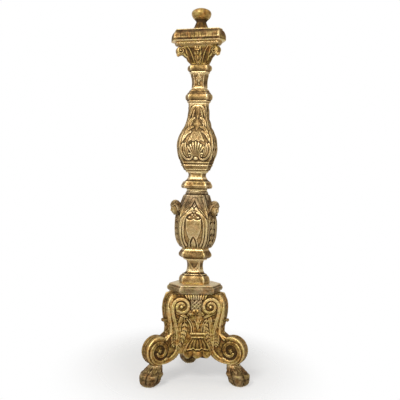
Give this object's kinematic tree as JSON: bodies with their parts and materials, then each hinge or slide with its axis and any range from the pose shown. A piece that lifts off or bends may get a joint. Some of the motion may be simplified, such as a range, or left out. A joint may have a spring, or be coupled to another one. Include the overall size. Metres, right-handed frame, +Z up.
{
  "type": "torchere candle stand",
  "caption": "Tall three-sided carved and gilded wooden candle stand on scroll legs, with a lift-out turned knob in its top.",
  "frame": {"origin": "on the column's axis, at floor level, between the three feet", "axes": "+Z up along the column's axis; -Y is the front, where one face of the three-sided base looks"},
  "size_m": [0.4356, 0.3941, 1.5],
  "materials": {
    "gilt_carving": "aged water gilding over gesso and red bole, worn on the ridges and dark in the hollows",
    "gilt_burnished": "brighter burnished gilding on mouldings",
    "gilt_ground": "dull gilding with grime on recessed grounds",
    "bare_wood": "unfinished wood of dowels and hidden cores"
  },
  "bodies": {
    "stand": {"base_core": "bare_wood", "base_panel_1": "gilt_ground", "base_panel_2": "gilt_ground", "base_panel_3": "gilt_ground", "console_leg_1": "gilt_carving", "console_leg_2": "gilt_carving", "console_leg_3": "gilt_carving", "leg_leaf_1": "gilt_carving", "leg_leaf_2": "gilt_carving", "leg_leaf_3": "gilt_carving", "paw_foot_1": "gilt_carving", "paw_foot_2": "gilt_carving", "paw_foot_3": "gilt_carving", "foot_dowels": "bare_wood", "apron_shell_1": "gilt_carving", "apron_shell_2": "gilt_carving", "apron_shell_3": "gilt_carving", "panel_rosette_1": "gilt_carving", "panel_rosette_2": "gilt_carving", "panel_rosette_3": "gilt_carving", "plinth_cap": "gilt_ground", "column_base": "gilt_burnished", "lower_neck": "gilt_carving", "vase_cushion": "gilt_burnished", "vase_body": "gilt_carving", "cherub_head_1": "gilt_carving", "cherub_head_2": "gilt_carving", "cherub_head_3": "gilt_carving", "corner_drop_1": "gilt_carving", "corner_drop_2": "gilt_carving", "corner_drop_3": "gilt_carving", "vase_cartouche_1": "gilt_carving", "vase_cartouche_2": "gilt_carving", "vase_cartouche_3": "gilt_carving", "knop": "gilt_burnished", "baluster_socle": "gilt_burnished", "baluster": "gilt_carving", "baluster_shell_1": "gilt_carving", "baluster_shell_2": "gilt_carving", "baluster_shell_3": "gilt_carving", "baluster_collar": "gilt_burnished", "upper_neck": "gilt_carving", "neck_ring": "gilt_burnished", "capital_bell": "gilt_ground", "capital_volute_1": "gilt_carving", "capital_volute_2": "gilt_carving", "capital_volute_3": "gilt_carving", "capital_leaf_1": "gilt_carving", "capital_leaf_2": "gilt_carving", "capital_leaf_3": "gilt_carving", "abacus_bed": "gilt_burnished", "abacus": "gilt_ground", "abacus_pegs": "bare_wood", "dowel_plinth": "bare_wood", "dowel_vase": "bare_wood", "dowel_knop": "bare_wood", "dowel_collar": "bare_wood", "dowel_capital": "bare_wood"},
    "finial": {"finial_knob": "gilt_burnished"}
  },
  "joints": [
    {"name": "finial_lift", "type": "slide", "parent": "stand", "child": "finial", "axis": [0, 0, 1], "range_m": [0, 0.04]}
  ]
}
